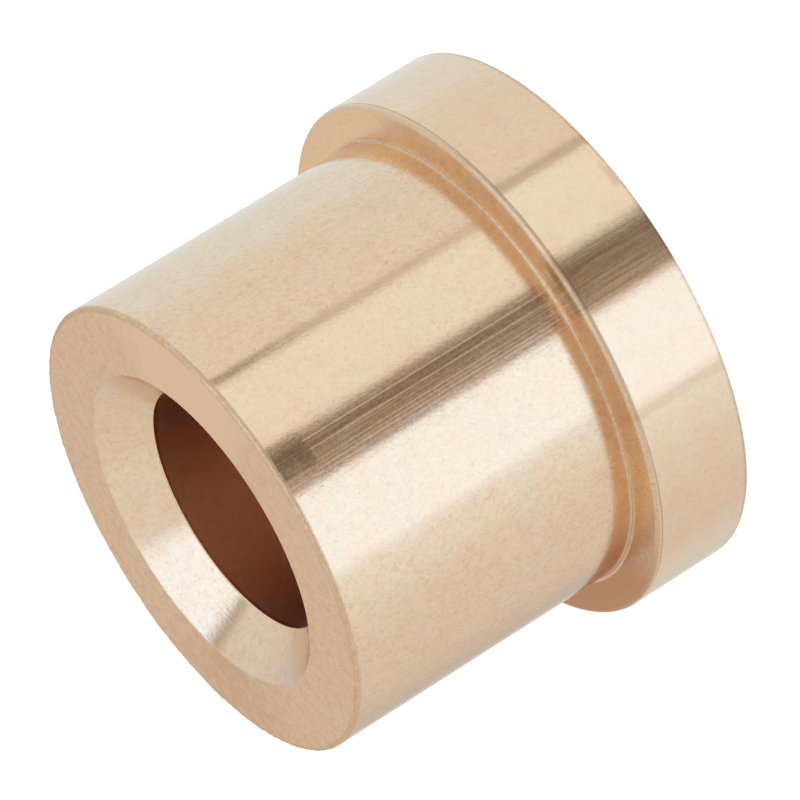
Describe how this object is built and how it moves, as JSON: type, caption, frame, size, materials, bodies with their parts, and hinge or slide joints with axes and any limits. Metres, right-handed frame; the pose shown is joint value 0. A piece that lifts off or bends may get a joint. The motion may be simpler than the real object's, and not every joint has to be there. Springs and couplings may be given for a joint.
{
  "type": "flanged sleeve bushing",
  "caption": "Flanged bronze sleeve bushing with a plain through bore, a wide conical lead-in at the sleeve end and a thick shoulder flange.",
  "frame": {"origin": "centre of the flange's flat back face, on the bore axis", "axes": "+Z along the bore axis, from the flange's back face towards the sleeve's open end; X and Y are any two directions across it, because the part is round"},
  "size_m": [0.0254, 0.0254, 0.0201],
  "materials": {
    "bronze": "fine-turned and lightly polished bronze with fine pits"
  },
  "bodies": {
    "root": {"flanged_bushing": "bronze"}
  },
  "joints": []
}
